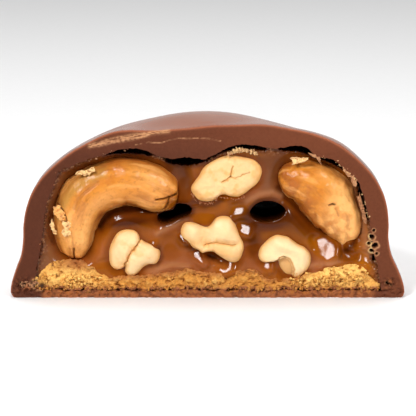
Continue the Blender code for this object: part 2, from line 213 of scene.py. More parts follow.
def spot(x, z, at_x, at_z, reach_x, reach_z, turn=0.0):
    """1 at the middle of an oval, fading outwards."""
    c, s = math.cos(math.radians(turn)), math.sin(math.radians(turn))
    u = (x - at_x) * c + (z - at_z) * s
    v = -(x - at_x) * s + (z - at_z) * c
    return np.exp(-((u / reach_x) ** 2) - (v / reach_z) ** 2)


def step(value, low, high):
    """0 below low, 1 above high and smooth between."""
    t = np.clip((value - low) / (high - low), 0, 1)
    return t * t * (3 - 2 * t)


def outside_by(x, z, outline):
    """Distance from a closed outline: positive outside it and negative inside."""
    closed = np.vstack([outline, outline[:1]])
    inside = np.zeros(x.shape, bool)
    for (ax, az), (bx, bz) in zip(closed, closed[1:]):
        crosses = (az > z) != (bz > z)
        at = ax + (z - az) * (bx - ax) / (bz - az if bz != az else 1e-9)
        inside ^= crosses & (x < at)
    away = away_from(x, z, closed)
    return np.where(inside, -away, away)


SHUFFLED = random.permutation(256)
SLOPES = random.normal(0, 1, (256, 3))
SLOPES /= np.linalg.norm(SLOPES, axis=1)[:, None]


def lumps(points, size, octaves=3, seed=0.0):
    """Uneven noise of about -1 to 1 at each point, with lumps of this size and finer ones on them."""
    total = np.zeros(len(points))
    for octave in range(octaves):
        at = points / size * 2.0**octave + np.array([1.0, 1.7, 0.6]) * seed + 31.4 * octave
        cell = np.floor(at).astype(int)
        inside = at - cell
        ease = inside**3 * (inside * (inside * 6 - 15) + 10)
        for corner in np.ndindex(2, 2, 2):
            near = (cell + corner) & 255
            slope = SLOPES[SHUFFLED[(SHUFFLED[(SHUFFLED[near[:, 0]] + near[:, 1]) & 255] + near[:, 2]) & 255]]
            share = np.prod(np.where(corner, ease, 1 - ease), axis=1)
            total += 1.6 * 0.54**octave * share * np.einsum("ij,ij->i", slope, inside - corner)
    return total


def joined(*columns):
    return np.stack(columns, axis=1)


def flat(x, z):
    return joined(x, np.zeros(x.shape), z)


def coat(hex_colour, x):
    """The same colour for every point."""
    return np.tile(linear(hex_colour), (len(x), 1))


def paint(tint, hex_colour, share):
    """Mixes a colour into the points' colours, by each point's share."""
    tint += (linear(hex_colour) - tint) * np.clip(share, 0, 1)[:, None]


def points_of(obj):
    co = np.empty(len(obj.data.vertices) * 3)
    obj.data.vertices.foreach_get("co", co)
    return co.reshape(-1, 3) / MM


def set_points(obj, points):
    obj.data.vertices.foreach_set("co", (points * MM).ravel())
    obj.data.update()


def set_tint(obj, tint):
    """Stores the colour that the material reads at each point."""
    rgba = np.ones((len(obj.data.vertices), 4))
    rgba[:, :3] = tint
    layer = obj.data.color_attributes.new("tint", "FLOAT_COLOR", "POINT")
    layer.data.foreach_set("color", rgba.ravel())


def add_object(name, data):
    obj = bpy.data.objects.new(name, data)
    bpy.context.scene.collection.objects.link(obj)
    return obj


def pick(obj):
    """Selects the object alone and makes it active."""
    bpy.ops.object.select_all(action="DESELECT")
    bpy.context.view_layer.objects.active = obj
    obj.select_set(True)


def start(name):
    """Names the primitive that was just added."""
    obj = bpy.context.object
    pick(obj)
    obj.name = name
    return obj


def in_edit_mode(obj, work):
    """Runs mesh operators on all of the object's faces."""
    pick(obj)
    bpy.ops.object.mode_set(mode="EDIT")
    bpy.ops.mesh.select_all(action="SELECT")
    work()
    bpy.ops.object.mode_set(mode="OBJECT")


def cut_by(obj, other, operation):
    """Cuts the object by another, which is then removed."""
    modifier = obj.modifiers.new("cut", "BOOLEAN")
    modifier.operation = operation
    modifier.solver = "MANIFOLD"
    modifier.object = other
    pick(obj)
    bpy.ops.object.modifier_apply(modifier=modifier.name)
    bpy.data.objects.remove(other)


def outwards(obj):
    in_edit_mode(obj, lambda: bpy.ops.mesh.normals_make_consistent(inside=False))


def grid(name, columns, rows):
    bpy.ops.mesh.primitive_grid_add(x_subdivisions=columns, y_subdivisions=rows, size=1.0, location=(0, 0, 0))
    return start(name)


SLAB_BACK = 40.0   # y behind the whole candy


def sheet(name, columns, rows, left, right, low, high):
    """A slab to shape: its object, its points' x and z between these limits, and which are in front."""
    obj = grid(name, columns, rows)
    in_edit_mode(obj, lambda: bpy.ops.mesh.extrude_region_move(TRANSFORM_OT_translate={"value": (0, 0, -1)}))
    raw = points_of(obj) * MM
    x = left + (right - left) * (raw[:, 0] + 0.5)
    z = low + (high - low) * (raw[:, 1] + 0.5)
    return obj, x, z, raw[:, 2] > -0.5


def soften(values, columns, times):
    """Blurs the front of a sheet, cell by cell."""
    cells = values.reshape(-1, columns + 1)
    for _ in range(times):
        for axis in (0, 1):
            padded = np.concatenate([np.take(cells, [0], axis), cells, np.take(cells, [-1], axis)], axis=axis)
            before, after = (np.take(padded, np.arange(k, k + cells.shape[axis]), axis) for k in (0, 2))
            cells = (before + 2 * cells + after) / 4
    return cells.ravel()


def ball(name, around, along):
    """A sphere to shape, of a rolled grid: its object, and each point's angle from a pole and turn."""
    obj = grid(name, around, along)
    raw = points_of(obj) * MM + 0.5
    turn, polar = raw[:, 0] * math.tau, raw[:, 1] * math.pi
    set_points(obj, joined(np.sin(polar) * np.cos(turn), np.sin(polar) * np.sin(turn), np.cos(polar)) / MM)
    in_edit_mode(obj, lambda: bpy.ops.mesh.remove_doubles(threshold=1e-5))
    raw = points_of(obj) * MM
    return obj, np.arccos(np.clip(raw[:, 2], -1, 1)), np.arctan2(raw[:, 1], raw[:, 0])


def finish_piece(obj, tint, material, nodes=(), sharp=None):
    """Gives the piece its colours, its finish and its place in the frame."""
    if tint is not None:
        set_tint(obj, tint)
    obj.data.materials.clear()
    obj.data.materials.append(material)
    pick(obj)
    if sharp:
        bpy.ops.object.shade_smooth_by_angle(angle=math.radians(sharp))
    else:
        bpy.ops.object.shade_smooth()
    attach(obj, "root")
    if nodes:
        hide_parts(*nodes)


# Materials


def add_node(tree, kind, values, links=None):
    """Adds a shader node with its settings and its incoming links."""
    made = tree.nodes.new("ShaderNode" + kind)
    for name, value in values.items():
        if name in made.inputs:
            made.inputs[name].default_value = value
        else:
            setattr(made, name, value)
    for name, source in (links or {}).items():
        tree.links.new(source, made.inputs[name])
    return made


def new_surface(name, values):
    """An empty node material: its tree, its main shader and its object coordinates."""
    made = bpy.data.materials.new(name)
    made.use_nodes = True
    tree = made.node_tree
    shader = tree.nodes["Principled BSDF"]
    for key, value in values.items():
        shader.inputs[key].default_value = value
    place = add_node(tree, "TexCoord", {}).outputs["Object"]
    return made, tree, shader, place


def noise(tree, place, grain, detail):
    """Noise in grains of this size."""
    values = {"Scale": 1 / (grain * MM), "Detail": detail, "Roughness": 0.6}
    return add_node(tree, "TexNoise", values, {"Vector": place}).outputs["Fac"]


def food_surface(name, values, mottle, relief, scatter=None):
    """The points' own colours, made uneven by mottle (grain, contrast), under relief (grain, height, detail).
    Where scatter (share, green, blue, reach) is given, light spreads inside."""
    made, tree, shader, place = new_surface(name, values)
    if scatter:
        share, green, blue, reach = scatter
        shader.inputs["Subsurface Weight"].default_value = share
        shader.inputs["Subsurface Radius"].default_value = (1.0, green, blue)
        shader.inputs["Subsurface Scale"].default_value = reach * MM
    grain, contrast = mottle
    tint = add_node(tree, "Attribute", {"attribute_name": "tint"}).outputs["Color"]
    factor = add_node(
        tree, "MapRange", {"From Min": 0.3, "From Max": 0.7, "To Min": 1 - contrast, "To Max": 1 + contrast},
        {"Value": noise(tree, place, grain, 4.0)},
    )
    shade = factor.outputs["Result"]
    uneven = add_node(tree, "VectorMath", {"operation": "SCALE"}, {"Vector": tint, "Scale": shade})
    tree.links.new(uneven.outputs["Vector"], shader.inputs["Base Color"])
    grain, height, detail = relief
    bumps = noise(tree, place, grain, detail)
    bump = add_node(tree, "Bump", {"Strength": 1.0, "Distance": height * MM}, {"Height": bumps})
    tree.links.new(bump.outputs["Normal"], shader.inputs["Normal"])
    return made


def chocolate_surface(name, roughness, shine, relief, grain, contrast):
    """Tempered milk chocolate: glossy where it was moulded, and matt with a fine grain where it was cut."""
    values = {"IOR": 1.48, "Roughness": roughness, "Specular IOR Level": shine}
    return food_surface(name, values, (grain, contrast), (0.22, relief, 4.0), (0.06, 0.5, 0.3, 0.6))


def caramel_surface():
    """Soft caramel: wet, smooth and slightly see-through."""
    values = {"IOR": 1.49, "Roughness": 0.12, "Specular IOR Level": 0.16}
    return food_surface("soft_caramel", values, (1.5, 0.06), (1.2, 0.015, 1.0), (0.15, 0.35, 0.08, 1.2))


def kernel_surface(name, roughness, relief):
    """Cashew: dense and waxy, with fine pores."""
    values = {"IOR": 1.47, "Roughness": roughness, "Specular IOR Level": 0.3}
    return food_surface(name, values, (0.7, 0.05), (0.3, relief, 3.0), (0.2, 0.6, 0.3, 0.8))


def crumb_surface(name, contrast, relief=0.12):
    """Baked crumb: matt and rough."""
    return food_surface(name, {"IOR": 1.4, "Roughness": 0.75}, (0.3, contrast), (0.2, relief, 5.0))


# Chocolate shell


def swell_at(x, y):
    total = 0
    for at_x, at_y, height, reach in SWELLS:
        total = total + height * np.exp(-((np.hypot(x - at_x, y - at_y) / reach) ** SWELL_POWER))
    return total


def mould(points):
    """Shapes the turned dome like the candy's outside: swells on top and a fuller left side."""
    x, y, z = points.T.copy()
    share = np.clip((z - SWELLS_FROM) / (DOME_TOP - 4.0 - SWELLS_FROM), 0, 1)
    z = z + share * swell_at(x, y)
    at_x, at_z, push, reach = LEFT_PUSH
    away = np.sqrt((x - at_x) ** 2 + (y - CUT) ** 2 + (z - at_z) ** 2) / reach
    out = push * np.exp(-(away**2)) / np.maximum(np.hypot(x, y), 1.0)
    return joined(x * (1 + out), y * (1 + out), z)


def cut_outline():
    """The outer edge of the cut, from the left foot over the top to the right foot."""
    line = curve(OUTSIDE, 240)
    line = line[line[:, 0] > abs(CUT) + 0.05]
    x = np.sqrt(line[:, 0] ** 2 - CUT**2)
    left, right = (mould(joined(side * x, np.full(x.shape, CUT), line[:, 1])) for side in (-1, 1))
    return np.vstack([left, right[::-1]])[:, [0, 2]]


SCRAPES = [   # line, width, strength: streaks that the knife left on the cut
    ([(-19.6, 26), (-16.5, 26.9), (-13, 27.6), (-9.5, 28.2), (-6.7, 28.5)], 0.26, 0.9),
    ([(-18.2, 26.15), (-15.5, 26.7), (-12, 27.3), (-10, 27.8)], 0.2, 0.8),
    ([(-19.9, 25.9), (-17, 26.5)], 0.14, 1),
    ([(-12.1, 26.2), (-9.9, 26.6), (-7.7, 26.5), (-6.4, 27), (-4.9, 27.3), (-3.4, 27.2), (-2, 27.3),
      (0.3, 27.2), (2.1, 26.8)], 0.06, 0.7),
]
# x, z, radius: burst bubbles with a pale rim
BUBBLES = [
    (27.6, 10.4, 0.5), (28.1, 9, 0.62), (27.6, 8, 0.45), (28.4, 7.6, 0.35), (27.1, 9.2, 0.35),
    (27.9, 11.6, 0.3), (-28.9, 2.2, 0.8), (-28.1, 1.7, 0.5), (-29.4, 2.9, 0.28), (-30.9, 2.3, 0.3),
    (-30.1, 2, 0.22), (-31.6, 2.5, 0.2), (30.2, 2.6, 0.25), (30.9, 2.2, 0.18),
]


def bubbles(x, z):
    """How far each place lies in a bubble, and on a bubble's rim."""
    hole, rim = np.zeros(x.shape), np.zeros(x.shape)
    bent = 0.25 * lumps(flat(x, z), 0.8, 2, 27)
    for at_x, at_z, radius in BUBBLES:
        away = np.hypot(x - at_x, z - at_z) / radius + bent
        hole = np.maximum(hole, 1 - step(away, 0.45, 0.8))
        rim = np.maximum(rim, np.exp(-(((away - 1.05) / 0.25) ** 2)))
    return hole, rim


# x, z, reach across, reach up: where the cut crumbled at the foot
FOOT_CRUMB = [(-30.4, 2.2, 2.2, 1), (-27.6, 2.4, 0.9, 1.2), (30.6, 2.4, 1.2, 0.9)]


def shell_relief(x, z):
    """Depth of the chocolate's cut face."""
    depth = 0.12 * stroke(x, z, cut_outline(), 0.16)
    for line, width, strength in SCRAPES:
        depth += 0.1 * strength * stroke(x, z, line, width * 1.6)
    at = flat(x, z)
    depth += 0.02 * lumps(at, 1.2, 3)
    hole, rim = bubbles(x, z)
    depth += 1.2 * hole - 0.1 * rim
    crumbly = sum(spot(x, z, *place) for place in FOOT_CRUMB) + 0.35 * step(-z, -2.2, -1.2)
    depth += np.clip(crumbly, 0, 1) * (0.3 + 0.9 * lumps(at, 0.8, 3, 4))
    return np.maximum(depth, 0.0)


def hollow_edge(detail):
    """The hollow's outline at the cut, torn along the chocolate where detail is 1."""
    roof = curve(HOLLOW_EDGE, 700)
    floor_x = np.linspace(HOLLOW_EDGE[-1][0], HOLLOW_EDGE[0][0], 302)[1:-1]
    outline = np.vstack([roof, joined(floor_x, np.full(floor_x.shape, FLOOR))])
    along = np.roll(outline, -1, axis=0) - np.roll(outline, 1, axis=0)
    out = joined(-along[:, 1], along[:, 0])
    out /= np.linalg.norm(out, axis=1)[:, None]
    torn = 0.16 * lumps(flat(*outline.T), 0.9, 4, 9) + 0.1 * lumps(flat(*outline.T), 2.6, 2, 3)
    low = outline[:, 1] < FLOOR + 0.1
    torn[low] *= 1.6
    return outline + out * (torn * detail)[:, None]


HOLLOW_REACH = 32.1   # how far behind the cut it would close to a point
HOLLOW_BACK = 29.0


def hollow(name, grow, detail):
    """The space inside the shell, as a solid that starts in front of the cut."""
    obj, polar, turn = ball(name, 1000, 40)
    outline = hollow_edge(detail)
    centre = np.array([0.0, FLOOR])
    share = polar / math.pi
    y = np.interp(share, [0, 0.1, 0.2, 0.35, 1.0], [CUT - 3, CUT - 3, CUT - 0.6, CUT + 2.0, HOLLOW_BACK])
    size = np.sqrt(np.clip(1 - (np.maximum(y - CUT, 0) / HOLLOW_REACH) ** 2, 0, 1))
    size *= np.interp(share, [0, 0.1, 0.97, 1.0], [0, 1, 1, 0])
    where = (turn / math.tau % 1.0) * len(outline)
    index = np.floor(where).astype(int) % len(outline)
    base = outline[index] + (outline[(index + 1) % len(outline)] - outline[index]) * (where % 1)[:, None]
    offset = base - centre
    reach = np.maximum(np.linalg.norm(offset, axis=1), 1e-6)
    placed = centre + offset * (size * (1 + grow / reach))[:, None]
    set_points(obj, joined(placed[:, 0], y, placed[:, 1]))
    outwards(obj)
    return obj


def build_shell():
    line = curve(OUTSIDE, 96) * MM
    profile = [(0, 0, 0), *((r, 0, z) for r, z in line)]
    mesh = bpy.data.meshes.new("chocolate_shell_finish")
    mesh.from_pydata(profile, [(i, i + 1) for i in range(len(profile) - 1)], [])
    obj = add_object("chocolate_shell_finish", mesh)

    def turn_it():
        bpy.ops.mesh.spin(steps=240, angle=math.tau, center=(0, 0, 0), axis=(0, 0, 1))
        bpy.ops.mesh.select_all(action="SELECT")
        bpy.ops.mesh.remove_doubles(threshold=0.01 * MM)
        bpy.ops.mesh.normals_make_consistent(inside=False)
        bpy.ops.mesh.bisect(plane_co=(0, (CUT + 0.25) * MM, 0), plane_no=(0, 1, 0))

    in_edit_mode(obj, turn_it)
    points = mould(points_of(obj))
    wave = 0.07 * lumps(points, 9, 2, 2) * step(points[:, 2], 0.3, 3)
    points[:, :2] *= 1 + (wave / np.maximum(np.hypot(points[:, 0], points[:, 1]), 4.0))[:, None]
    set_points(obj, points)

    face, x, z, front = sheet("knife_cut", 440, 210, -35.0, 35.0, -1.0, 32.0)
    y = np.full(x.shape, SLAB_BACK)
    y[front] = CUT + shell_relief(x[front], z[front])
    set_points(face, joined(x, y, z))
    outwards(face)
    cut_by(obj, face, "INTERSECT")
    cut_by(obj, hollow("hollow_cutter", 0.0, 1.0), "DIFFERENCE")

    x, y, z = points_of(obj).T
    on_cut = step(-y, -(CUT + 1), -(CUT + 0.4))
    on_cut_or_pit = step(-y, -(CUT + 2.4), -(CUT + 2))
    reach = np.hypot(x, y)
    outside = np.interp(z, [p[1] for p in OUTSIDE], [p[0] for p in OUTSIDE])
    skin = np.where((reach > outside - 1.2) | (z > 27.0) | (z < 0.3), 1.0 - on_cut, 0.0)
    tint = coat(COCOA, x)
    # Painted light: the cut is lighter towards the right and the top, where the lamps fall on it
    paint(tint, LIT_COCOA, 0.75 * step(x, -12, 26) + 0.45 * step(z, 23, 28))
    base = step(-z, -1.7, -1.2) * step(28.5 - np.abs(x), 0, 1)
    paint(tint, BASE, base)
    flecks = lumps(flat(x, z), 0.7, 3, 51)
    paint(tint, COCOA, 0.6 * base * step(flecks, -0.1, 0.5))
    paint(tint, BAKED_AND_SHADE, 0.6 * base * step(-flecks, 0.1, 0.6) * step(z, 0.4, 1))
    paint(tint, MOULDED, skin)
    # Painted light: a bright edge along the cut's outer rim, where light shows through the thin chocolate
    paint(tint, LIT_RIM, 0.75 * on_cut * stroke(x, z, cut_outline(), 0.17))
    along, across = x * 0.98 + z * 0.19, z * 0.98 - x * 0.19
    streaky = 0.75 + 1.3 * lumps(flat(along * 0.07, across), 0.16, 3, 7)
    for line, width, strength in SCRAPES:
        paint(tint, SCRAPED, on_cut * strength * stroke(x, z, line, width * 1.3) * streaky)
    crumbly = np.clip(sum(spot(x, z, *place) for place in FOOT_CRUMB), 0, 1)
    grainy = lumps(flat(x, z), 0.8, 3, 4)
    # Painted shade in the pits of the crumbled foot; the raised crumbs keep the base colour
    paint(tint, RECESS_SHADE, 0.7 * on_cut_or_pit * crumbly * step(grainy, 0.15, 0.6))
    paint(tint, BASE, 0.8 * on_cut * crumbly * step(-grainy, 0.2, 0.5))
    hole, rim = bubbles(x, z)
    paint(tint, SCRAPED, 0.8 * on_cut * rim)
    # Painted shade in the bubbles' holes
    paint(tint, RECESS_SHADE, on_cut_or_pit * hole)
    cut_finish = chocolate_surface("cut_milk_chocolate", 0.55, 0.1, 0.02, 0.35, 0.1)
    finish_piece(obj, tint, cut_finish, ["chocolate_shell"], sharp=35)
    obj.data.materials.append(chocolate_surface("moulded_milk_chocolate", 0.24, 0.45, 0.0004, 4.0, 0.04))
    smooth_side = [int(min(skin[i] for i in face.vertices) > 0.5) for face in obj.data.polygons]
    obj.data.polygons.foreach_set("material_index", smooth_side)


# Caramel

# x, z, depth, reach across, reach up, turn: soft hollows, and swells where the depth is negative
CARAMEL_FORMS = [
    (-6.2, 9.6, 0.8, 2.2, 2.4, 0), (-0.8, 14.4, 1, 2.6, 1.6, 0), (10.2, 15.6, 0.9, 4, 1.8, 0),
    (-13.2, 10.8, -0.3, 4, 1.8, 25), (-4.2, 20.6, 2.2, 1.6, 3, 15), (24.9, 10.3, 1.6, 0.9, 0.9, 0),
    (11.2, 5.1, 2.6, 0.35, 0.7, 0), (7.9, 9.4, 0.8, 1.4, 1.6, 0),
]
# line, width, depth: ridges, and grooves
CARAMEL_LINES = [
    ([(-18.3, 12.2), (-17.2, 14), (-15.7, 15.1), (-13.8, 15.5), (-12, 15.5), (-9.8, 15)], 0.65, 1.8),
    ([(-4.1, 13.3), (-5.3, 12.5), (-6.8, 11.7), (-8.3, 11.1)], 0.8, -0.5),
    ([(-18.7, 5.7), (-17.1, 6.2)], 0.22, 1.2),
    ([(-0.9, 7.2), (0.6, 6.9), (2, 6.3), (3.6, 5.7)], 0.45, 3.2),
]
# Thin raised lines, which shine along their length: line, width and height
CARAMEL_RIMS = [
    ([(-17.8, 11.9), (-16.8, 13), (-15.6, 13.8), (-14.2, 14.3), (-12.6, 14.5), (-10.9, 14.5)], 0.22, 0.2),
    ([(-2.6, 15.4), (-1.5, 15.6), (-0.1, 15.5), (0.8, 16)], 0.22, 0.18),
    ([(3.9, 13.5), (4.4, 12.4), (5.2, 11.9)], 0.25, 0.2),
    ([(-4.5, 13.2), (-6, 12.3), (-7.6, 11.7), (-8.4, 11)], 0.4, 0.2),
    ([(6.9, 15.6), (8.3, 16.9), (10.6, 17.3), (12.6, 16.7)], 0.3, 0.2),
    ([(18.5, 5), (21, 5.8), (24, 6.2), (26.5, 5.5)], 0.35, 0.18),
    ([(-8.5, 4.6), (-6.6, 5.1), (-4.8, 5.3), (-2.6, 5)], 0.3, 0.15),
    ([(23.9, 10), (25, 9.2), (25.9, 10.4)], 0.25, 0.22),
]
# Small ledges that lean back and mirror the light: outline, and depth at the middle
CARAMEL_LEDGES = [
    ([(17.7, 9.9), (19.85, 10.2), (21.4, 9.5), (22.1, 8.5), (21.7, 6.6), (20.4, 5.8), (19.2, 7),
      (18.3, 8.4)], 1),
    ([(4.3, 15.5), (5.7, 15.6), (6.1, 14.7), (5.7, 13.7), (6, 12.9), (4.7, 12.8), (4, 14.2)], 0.8),
    ([(4.9, 12.7), (6, 12.9), (7.5, 11.6), (7.1, 10.3), (5.6, 10.8), (4.7, 12.1)], 0.8),
    ([(-2.7, 7.7), (-1.75, 8), (-1.1, 7.1), (-0.2, 5.95), (-0.8, 5.4), (-1.7, 6.1), (-2.1, 7)], 0.6),
    ([(-5, 10.4), (-4.45, 10.7), (-3.8, 9.85), (-3.6, 9.2), (-4.3, 9.3)], 0.5),
    ([(3.4, 6.1), (4.1, 6.1), (4.3, 4.4), (3.6, 4.2)], 0.6),
    ([(2.2, 4.75), (3.1, 4.75), (3.1, 3.9), (2.2, 3.9)], 0.4),
    ([(9.6, 5.8), (10.8, 5.8), (10.8, 4.6), (9.8, 4.5)], 0.5),
    ([(23.4, 9.4), (24.4, 9.4), (24.4, 8.3), (23.5, 8.3)], 0.5),
    ([(25.9, 7.4), (27.2, 7.1), (28.5, 4.6), (27.6, 4.2), (26.5, 5.8)], 0.5),
    ([(-9.7, 9.4), (-8.8, 9.5), (-8.8, 8.7), (-9.5, 8.7)], 0.4),
]
LEDGE_LEAN = (-0.245, 0.514)
# Painted shadows and painted sheen along a line: colour, then each line with its width and share
CARAMEL_SHADES = [
    (TOFFEE, [
        ([(-18.2, 11.2), (-17.2, 12.7), (-16, 13.6), (-14.3, 14.1), (-12.4, 14.3), (-10.2, 14.1)], 0.8, 0.8),
    ]),
    (SHADOW_TOFFEE, [
        ([(-18.2, 11.8), (-17.2, 13.3), (-15.9, 14.3), (-14.3, 14.7), (-12.4, 14.8), (-9.8, 14.5)], 0.65, 1),
    ]),
    (SHADE_TOFFEE, [
        ([(11.7, 18.6), (12.7, 17), (14.4, 15.6), (16, 14), (17.8, 12.3), (19.8, 10.7)], 0.5, 0.85),
        ([(23.4, 8), (24.6, 9.4), (25.3, 11.4)], 0.5, 0.9),
        ([(-4.6, 10.1), (-3.2, 8.6), (-1.2, 7.3)], 0.35, 0.6),
        ([(-8.6, 5.2), (-7.7, 6.8), (-8.4, 8.6)], 0.3, 0.5),
        ([(-2.6, 16.4), (-0.6, 15.7), (1.2, 16), (2.4, 16.7)], 0.5, 0.7),
    ]),
    (TAN, [
        ([(-8.6, 10.9), (-6.9, 11.8), (-5.2, 12.7), (-3.8, 13.3)], 0.45, 0.55),
        ([(6.6, 16.4), (8.6, 17.6), (10.8, 17.9), (12.2, 17.2)], 0.5, 0.5),
        ([(-8.6, 4.8), (-6, 5.6), (-3.4, 5.3)], 0.5, 0.5),
        ([(15.2, 4.6), (18.4, 5.6), (22, 6)], 0.45, 0.5),
        ([(24.4, 19.6), (25.6, 16.4), (26.1, 12.8), (26.6, 9.6), (27.3, 7.2)], 0.8, 0.6),
    ]),
]
# Holes and gaps that go deep, as outlines
AIR_GAPS = [
    [(-8.3, 13.2), (-8.2, 13.8), (-7, 14.2), (-5.8, 14.6), (-5.2, 15.5), (-4.1, 15.7), (-3.2, 15.4),
     (-2.9, 14.7), (-3.6, 14), (-5, 13.6), (-6.1, 13.1), (-7.4, 12.8)],
    [(7.2, 14.4), (7.9, 15.4), (9, 16), (10.6, 16.1), (12, 15.6), (12.9, 14.7), (12.3, 13.8), (11, 13.2),
     (9.2, 13), (7.8, 13.5)],
    [(-17.2, 24.4), (-14.9, 24.6), (-12.6, 24.6), (-11.1, 24.5), (-9.8, 24.3), (-9.2, 24.4), (-9.2, 26.5),
     (-17, 26.5)],
    [(-7.4, 23.7), (-6.5, 23), (-5, 22.7), (-3.5, 22.6), (-1.6, 22.9), (-0.4, 23.4), (-0.4, 25), (-7.4, 25)],
    [(0, 23.8), (1.8, 24.5), (3.3, 25.2), (5.25, 25.7), (7.2, 25.4), (9.4, 25.3), (9.4, 27.5), (0, 27.5)],
    [(12, 25.3), (14.9, 25.1), (16.4, 24.6), (17.6, 24), (17.9, 25.5), (14, 27), (12, 27)],
    [(17.7, 24), (19.5, 23.5), (21, 22.9), (22.6, 22), (23.2, 23.4), (19, 25.5)],
    [(24.4, 20.9), (25.5, 20.5), (26.3, 19.2), (26.3, 17.3), (25.7, 17.3), (25.2, 19), (24.5, 20.1)],
    [(25.8, 17.1), (26.5, 17.2), (27.3, 13.6), (26.7, 13.4), (26.2, 15.2)],
    [(27.9, 6.4), (28.4, 6.4), (28.4, 7.2), (27.9, 7.2)],
]
GAP_DEPTH = 9.0
SEEN_LOWER = 0.19   # what lies deeper looks this much higher from the front
# Patches in the order they are painted: colour, then each one's x, z, reach across, reach up, turn and share.
# The mauve and tan patches are a painted reflection, the glow patches painted light shining through,
# and the toffee patches are mostly painted shade by the kernels and holes.
CARAMEL_TONES = [
    (REFLECTED_MAUVE, [(-5.5, 5.9, 5.5, 1.8, 0, 0.9), (7.2, 6, 1.8, 1.8, 0, 0.7), (18.5, 4.8, 4.2, 1.3, 0, 0.9),
             (-6.4, 12.5, 2.6, 1, 28, 0.7), (9.3, 18, 2.6, 1.4, 0, 0.9), (14.8, 13.8, 1.5, 0.8, -20, 0.8),
             (-20, 7.2, 2.2, 1.3, 20, 0.8)]),
    (GREY, [(10.8, 22.4, 2.6, 3.2, 0, 0.9), (-5, 20.5, 1.8, 3.4, 15, 0.9), (-13, 24.2, 7, 0.9, 0, 0.9),
            (-22, 21.5, 3.5, 1.2, 38, 0.9)]),
    (FILM, [(11, 19.6, 1.8, 1.6, 0, 0.5)]),
    (GLOW, [(11.5, 11.2, 4.5, 1.5, 0, 0.9), (24.5, 5.8, 2.2, 1, 0, 0.6), (20.2, 23.2, 2, 0.5, -28, 0.8),
            (4, 25, 4, 0.6, 0, 0.6), (-19.8, 8.2, 1, 1, 0, 0.5)]),
    (TOFFEE, [(-6, 14.7, 3.5, 1.5, 20, 0.9), (7.8, 9.2, 1.3, 2.2, 0, 0.8), (-6.4, 9.2, 1.2, 1.6, 0, 0.4),
              (16.2, 12.3, 2.2, 0.6, -42, 0.8)]),
    (GLOW, [(15.4, 9.9, 1.4, 0.8, -30, 0.7)]),
    (TOFFEE, [(23.8, 7, 1.4, 0.9, 0, 0.8), (9.4, 12, 2.6, 0.7, 0, 0.8), (9.5, 17, 4, 0.6, 0, 0.5),
              (15, 11, 1.8, 1.6, -35, 0.5), (-5, 6.2, 4.5, 1.2, 0, 0.25)]),
    (TAN, [(-9.4, 5.1, 1, 0.8, 0, 0.5)]),
    (SHADE_TOFFEE, [(-13.2, 13.7, 5, 1.3, 8, 1), (7.8, 8.9, 0.8, 1.5, 0, 0.5), (10.2, 13.6, 4.2, 1.7, 0, 0.9),
                   (16, 11.6, 1.2, 1, -35, 0.45), (1.2, 6.8, 2.6, 0.5, -15, 0.9)]),
]


def air_gaps():
    """Outlines of the holes, the two in the middle rounded."""
    return [curve(gap, 60, closed=True) for gap in AIR_GAPS[:2]] + [np.array(gap) for gap in AIR_GAPS[2:]]


def kernel_outlines():
    """Outlines of the cashews, with the depth at which caramel meets them and how far it reaches."""
    found = []
    for outline in (TOP_KERNEL, LOW_LEFT_KERNEL, LOW_MID_KERNEL, LOW_RIGHT_KERNEL):
        found.append((curve(outline, 90, closed=True), 1.1, 0.5))
    for line in (LEFT_KERNEL, RIGHT_KERNEL):
        found.append((kernel_silhouette(line), 2.7, 0.9))
    return found


def heading(line):
    """The direction of the line at each of its points."""
    along = np.gradient(line[:, :2], axis=0)
    return along / np.linalg.norm(along, axis=1)[:, None]


def kernel_silhouette(stations):
    middle = curve(stations, 60)
    along = heading(middle)
    across = joined(along[:, 1], -along[:, 0])
    half = np.maximum(middle[:, 2:3], 0) / 2
    return np.vstack([middle[:, :2] + across * half, (middle[:, :2] - across * half)[::-1]])


CARAMEL_COLUMNS = 400


def caramel_relief(x, z):
    """Depth of the caramel's face."""
    at = flat(x, z)
    depth = 0.75 + 0.12 * lumps(at, 6, 1, 1)
    for place_x, place_z, deep, reach_x, reach_z, turn in CARAMEL_FORMS:
        depth += deep * spot(x, z, place_x, place_z, reach_x, reach_z, turn)
    for line, width, deep in CARAMEL_LINES:
        depth += deep * stroke(x, z, line, width)
    for outline, meets, reach in kernel_outlines():
        away = outside_by(x, z, outline)
        depth += (meets - depth) * np.where(away < 0, 1.0, np.exp(-((away / reach) ** 2)))
    depth = soften(depth, CARAMEL_COLUMNS, 14)
    for outline, deep in CARAMEL_LEDGES:
        outline = np.array(outline)
        middle = outline.mean(axis=0)
        ledge = deep + LEDGE_LEAN[0] * (x - middle[0]) + LEDGE_LEAN[1] * (z - middle[1])
        ledge += 0.03 * lumps(at, 1.3, 2, 30)
        depth += (ledge - depth) * (1 - step(outside_by(x, z, outline), 0, 1))
    depth = soften(depth, CARAMEL_COLUMNS, 8)
    for line, width, height in CARAMEL_RIMS:
        depth -= height * stroke(x, z, line, width)
    edge = away_from(x, z, curve(HOLLOW_EDGE, 300))
    fringe = np.exp(-((edge / 0.9) ** 2))
    depth += (0.35 - depth) * fringe * 0.7
    depth += fringe * 0.35 * lumps(at, 0.7, 4, 5)
    torn = 0.25 * lumps(at, 0.8, 3, 8) * step(z, 16.5, 17.5)
    for outline in air_gaps():
        depth += GAP_DEPTH * (1 - step(outside_by(x, z, outline) + torn, -0.25, 0.2))
    hole, rim = bubbles(x, z)
    depth += 1.5 * hole - 0.2 * rim
    top = np.interp(x, *np.array(BISCUIT_EDGE).T)
    depth += 2.5 * (1 - step(z, top - 0.9, top - 0.4))
    return np.maximum(depth, 0.05)


